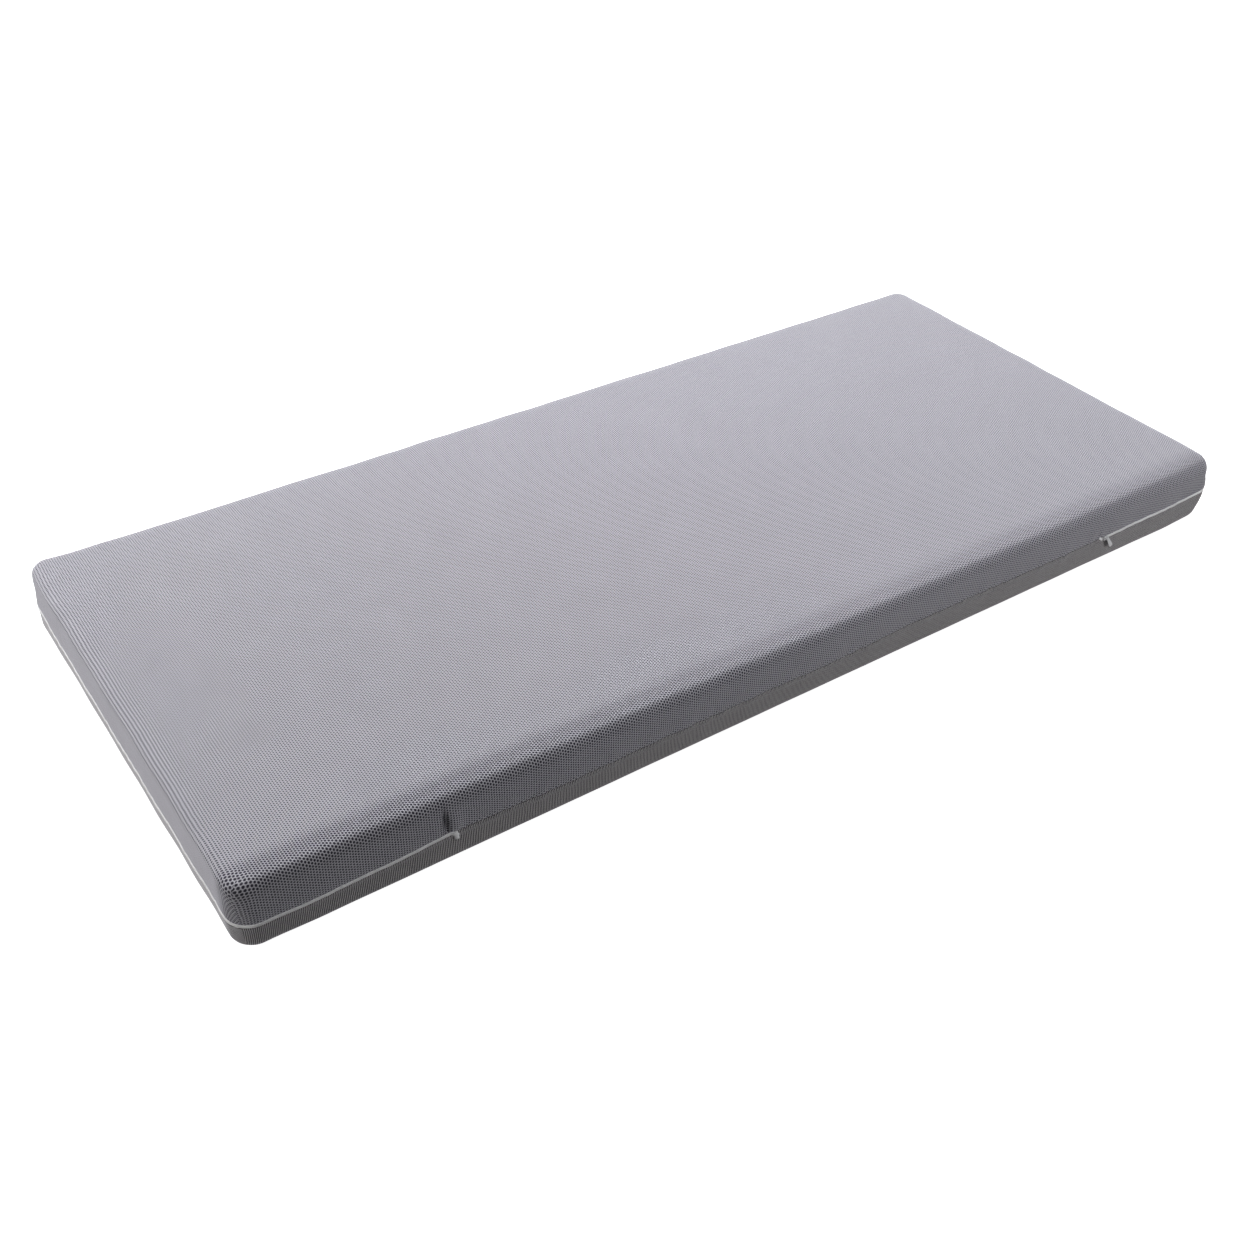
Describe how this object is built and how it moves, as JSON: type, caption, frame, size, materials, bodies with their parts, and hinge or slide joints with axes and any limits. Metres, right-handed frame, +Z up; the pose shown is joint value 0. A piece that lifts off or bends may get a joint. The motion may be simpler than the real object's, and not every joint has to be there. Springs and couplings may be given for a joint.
{
  "type": "memory foam mattress",
  "caption": "Thin single memory foam mattress in a grey air-mesh cover that unzips round both ends and the back and folds open.",
  "frame": {"origin": "middle of the underside, on the surface that the mattress lies on", "axes": "+X along the length, -Y out of the front long side that has the sewn seam, +Z up"},
  "size_m": [2, 0.8991, 0.13],
  "materials": {
    "air_mesh": "matte",
    "air_mesh_lower": "matte",
    "memory_foam": "matte",
    "support_foam": "matte",
    "zip_tape": "matte",
    "zip_coil": "satin",
    "zip_metal": "satin",
    "thread": "matte"
  },
  "bodies": {
    "base": {"memory_foam_layer": "memory_foam", "support_foam_layer": "support_foam", "cover_top_fold_strip": "air_mesh", "cover_bottom": "air_mesh_lower", "zip_tape_upper_front": "zip_tape", "zip_tape_lower": "zip_tape", "zip_coil_upper_front": "zip_coil", "zip_coil_lower": "zip_coil", "zip_top_stops": "zip_metal", "zip_bottom_stop": "zip_metal", "zip_tape_tail_left": "zip_tape", "zip_tape_tail_right": "zip_tape", "front_seam_allowance": "air_mesh_lower", "front_seam_thread": "thread", "corner_seam_allowances_bottom": "air_mesh_lower"},
    "lid": {"cover_top": "air_mesh", "zip_tape_upper_rear": "zip_tape", "zip_coil_upper_rear": "zip_coil", "corner_seam_allowances_top": "air_mesh"},
    "slider": {"zip_slider_body": "zip_metal", "zip_slider_bridge": "zip_metal"},
    "puller": {"zip_puller": "zip_metal"}
  },
  "joints": [
    {"name": "cover_open", "type": "hinge", "parent": "base", "child": "lid", "pos_m": [0, -0.4475, 0.07], "axis": [1, 0, 0], "range_deg": [0, 140]},
    {"name": "slider_slide", "type": "slide", "parent": "base", "child": "slider", "axis": [1, 0, 0], "range_m": [0, 0.25]},
    {"name": "puller_swing", "type": "hinge", "parent": "slider", "child": "puller", "pos_m": [0.7013, -0.4475, 0.058], "axis": [0, 1, 0], "range_deg": [-40, 75]}
  ]
}
